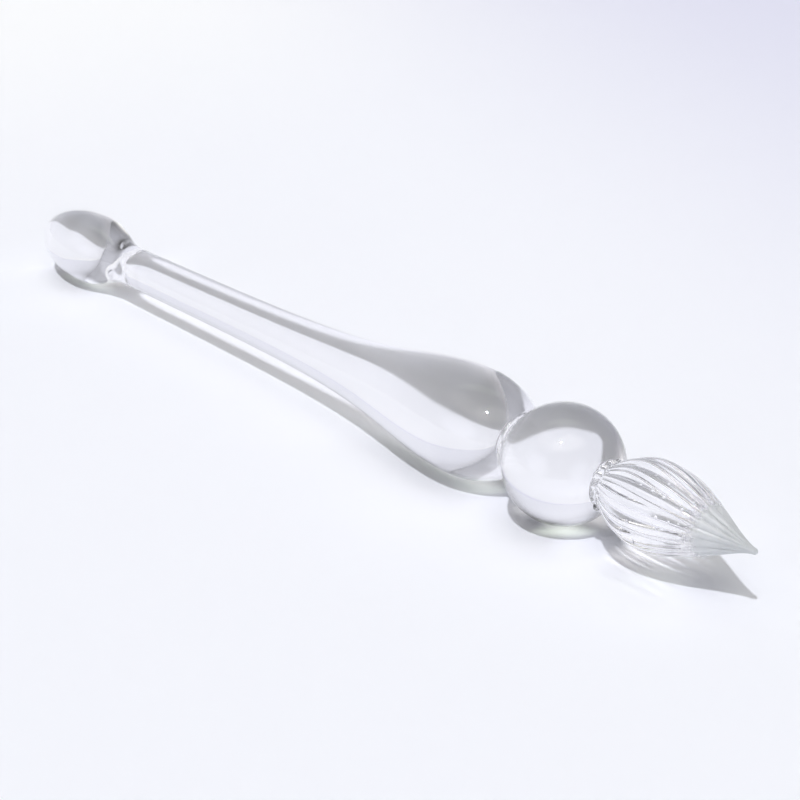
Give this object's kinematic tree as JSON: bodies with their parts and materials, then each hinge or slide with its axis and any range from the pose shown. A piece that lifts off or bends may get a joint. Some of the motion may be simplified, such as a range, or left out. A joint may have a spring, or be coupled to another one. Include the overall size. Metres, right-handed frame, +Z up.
{
  "type": "glass dip pen",
  "caption": "Clear glass dip pen lying on a table: ribbed drop-shaped nib whose grooves carry ink, grip ball, bulbous handle drawn into a slim rod, and an egg-shaped end knob.",
  "frame": {"origin": "on the table, under the middle of the pen's length", "axes": "+X along the pen towards the nib, +Y to the left of the nib's direction, +Z up from the table"},
  "size_m": [0.1376, 0.014, 0.014],
  "materials": {
    "clear_glass": "fire-polished",
    "nib_glass": "ribbed, ground milky towards the point",
    "weld_glass": "melted, with small bubbles"
  },
  "bodies": {
    "root": {"nib": "nib_glass", "nib_weld": "weld_glass", "ball": "clear_glass", "handle_weld": "weld_glass", "handle": "clear_glass", "end_knob": "clear_glass"}
  },
  "joints": []
}
